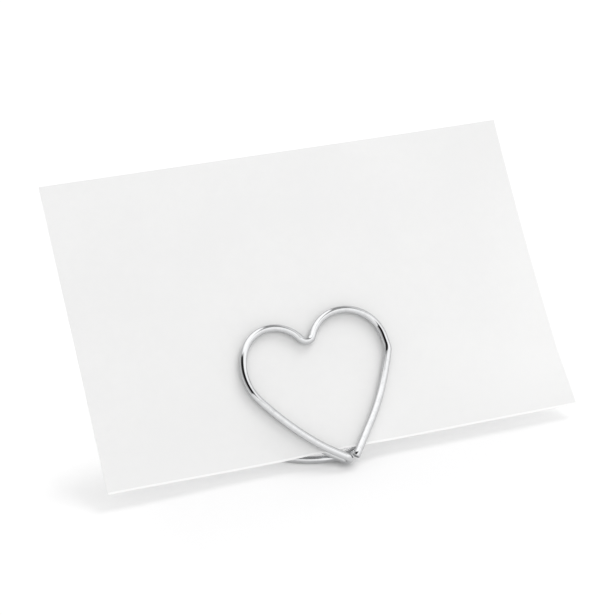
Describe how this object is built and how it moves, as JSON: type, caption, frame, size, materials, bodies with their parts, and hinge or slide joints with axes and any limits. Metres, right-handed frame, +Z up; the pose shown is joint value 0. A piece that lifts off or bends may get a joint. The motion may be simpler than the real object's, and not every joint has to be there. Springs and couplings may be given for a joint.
{
  "type": "place card holder",
  "caption": "Place card holder of bent chrome wire: a heart-shaped spring clip grips a blank card, which leans back over an open ring foot.",
  "frame": {"origin": "on the table, under the middle of the whole object's box", "axes": "+X along the card's lower edge to the right, +Y to the rear, where the card leans, +Z up"},
  "size_m": [0.085, 0.043, 0.0402],
  "materials": {
    "wire": "bright chrome plate on spring steel wire",
    "card": "uncoated white card stock"
  },
  "bodies": {
    "stand": {"rear_heart": "wire", "spring_fold": "wire", "foot_ring": "wire"},
    "front_clip": {"front_heart": "wire"},
    "card": {"place_card": "card"}
  },
  "joints": [
    {"name": "clip_opening", "type": "hinge", "parent": "stand", "child": "front_clip", "pos_m": [-0.00156, -0.0212, 0.00287], "axis": [0.995, 0.0733, 0.0678], "range_deg": [0, 8], "stiffness_Nm_per_rad": 1.2},
    {"name": "card_lift", "type": "slide", "parent": "stand", "child": "card", "axis": [0, 0.7337, 0.6794], "range_m": [0, 0.035]}
  ]
}
